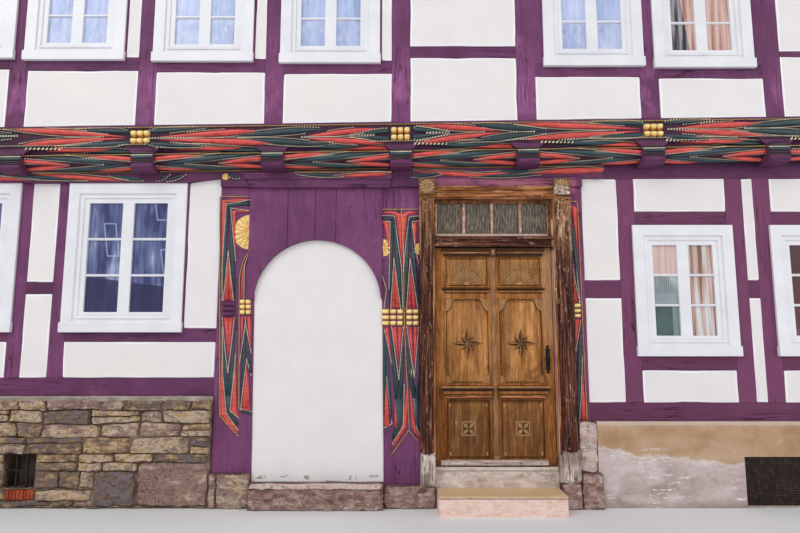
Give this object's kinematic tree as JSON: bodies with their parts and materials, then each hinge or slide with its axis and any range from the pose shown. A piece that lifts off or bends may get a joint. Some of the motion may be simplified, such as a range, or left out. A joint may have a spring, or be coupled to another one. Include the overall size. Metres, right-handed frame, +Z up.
{
  "type": "half timbered house",
  "caption": "Two-storey half timbered row house with a jettied upper storey, carved sill, blocked arched gateway, hinged front door and steep saddle roof.",
  "frame": {"origin": "on the ground, at the middle of the roof's outline", "axes": "+X along the street front to the right, +Y from the front to the back, +Z up; the front faces -Y"},
  "size_m": [10.174, 8.4006, 10.7933],
  "materials": {
    "painted_timber": "dark purple brown paint on old oak",
    "carved_timber": "carved oak painted purple, red, green and gold",
    "infill_plaster": null,
    "white_paint": "white gloss paint on wood",
    "door_oak": "oiled oak, worn",
    "weathered_oak": "old dark oak, weathered pale at the foot",
    "inner_timber": "plain sawn boards and rafters",
    "rubble_stone": null,
    "dressed_stone": null,
    "render": "plain lime render on the party walls",
    "window_glass": "clear window glass",
    "ribbed_glass": "ribbed greenish glass",
    "black_iron": "black forged iron",
    "roof_tile": null
  },
  "bodies": {
    "house": {"plinth_front_left": "rubble_stone", "plinth_front_right": "dressed_stone", "plinth_sides": "rubble_stone", "plinth_back": "dressed_stone", "footing_stones": "dressed_stone", "threshold_stone": "dressed_stone", "door_step": "dressed_stone", "cellar_bars": "black_iron", "cellar_grille": "black_iron", "ground_floor": "inner_timber", "ground_sills": "painted_timber", "ground_posts": "painted_timber", "ground_rails": "painted_timber", "ground_infill": "infill_plaster", "ground_plates": "carved_timber", "gate_posts": "carved_timber", "gate_boards": "painted_timber", "gate_lintel": "painted_timber", "gate_infill": "infill_plaster", "door_jambs": "weathered_oak", "door_head": "weathered_oak", "rosette_blocks": "weathered_oak", "transom_bar": "weathered_oak", "transom_window": "weathered_oak", "transom_glass": "ribbed_glass", "hinge_pintles": "black_iron", "floor_beams": "carved_timber", "filler_timbers": "carved_timber", "carved_sill": "carved_timber", "upper_posts": "painted_timber", "upper_rails": "painted_timber", "upper_infill": "infill_plaster", "upper_plates": "painted_timber", "upper_floor": "inner_timber", "front_windows": "white_paint", "front_glass": "window_glass", "back_posts": "painted_timber", "back_rails": "painted_timber", "back_infill": "infill_plaster", "back_sills": "painted_timber", "back_windows": "white_paint", "back_glass": "window_glass", "plain_fillers": "painted_timber", "party_walls": "render", "attic_beams": "painted_timber", "attic_floor": "inner_timber", "rafters": "inner_timber", "roof_front": "roof_tile", "roof_back": "roof_tile", "ridge_tiles": "roof_tile"},
    "front_door": {"door_leaf": "door_oak", "door_handle": "black_iron", "hinge_knuckles": "black_iron"}
  },
  "joints": [
    {"name": "front_door_hinge", "type": "hinge", "parent": "house", "child": "front_door", "pos_m": [0.332, -3.63, 0.368], "axis": [0, 0, 1], "range_deg": [0, 95]}
  ]
}
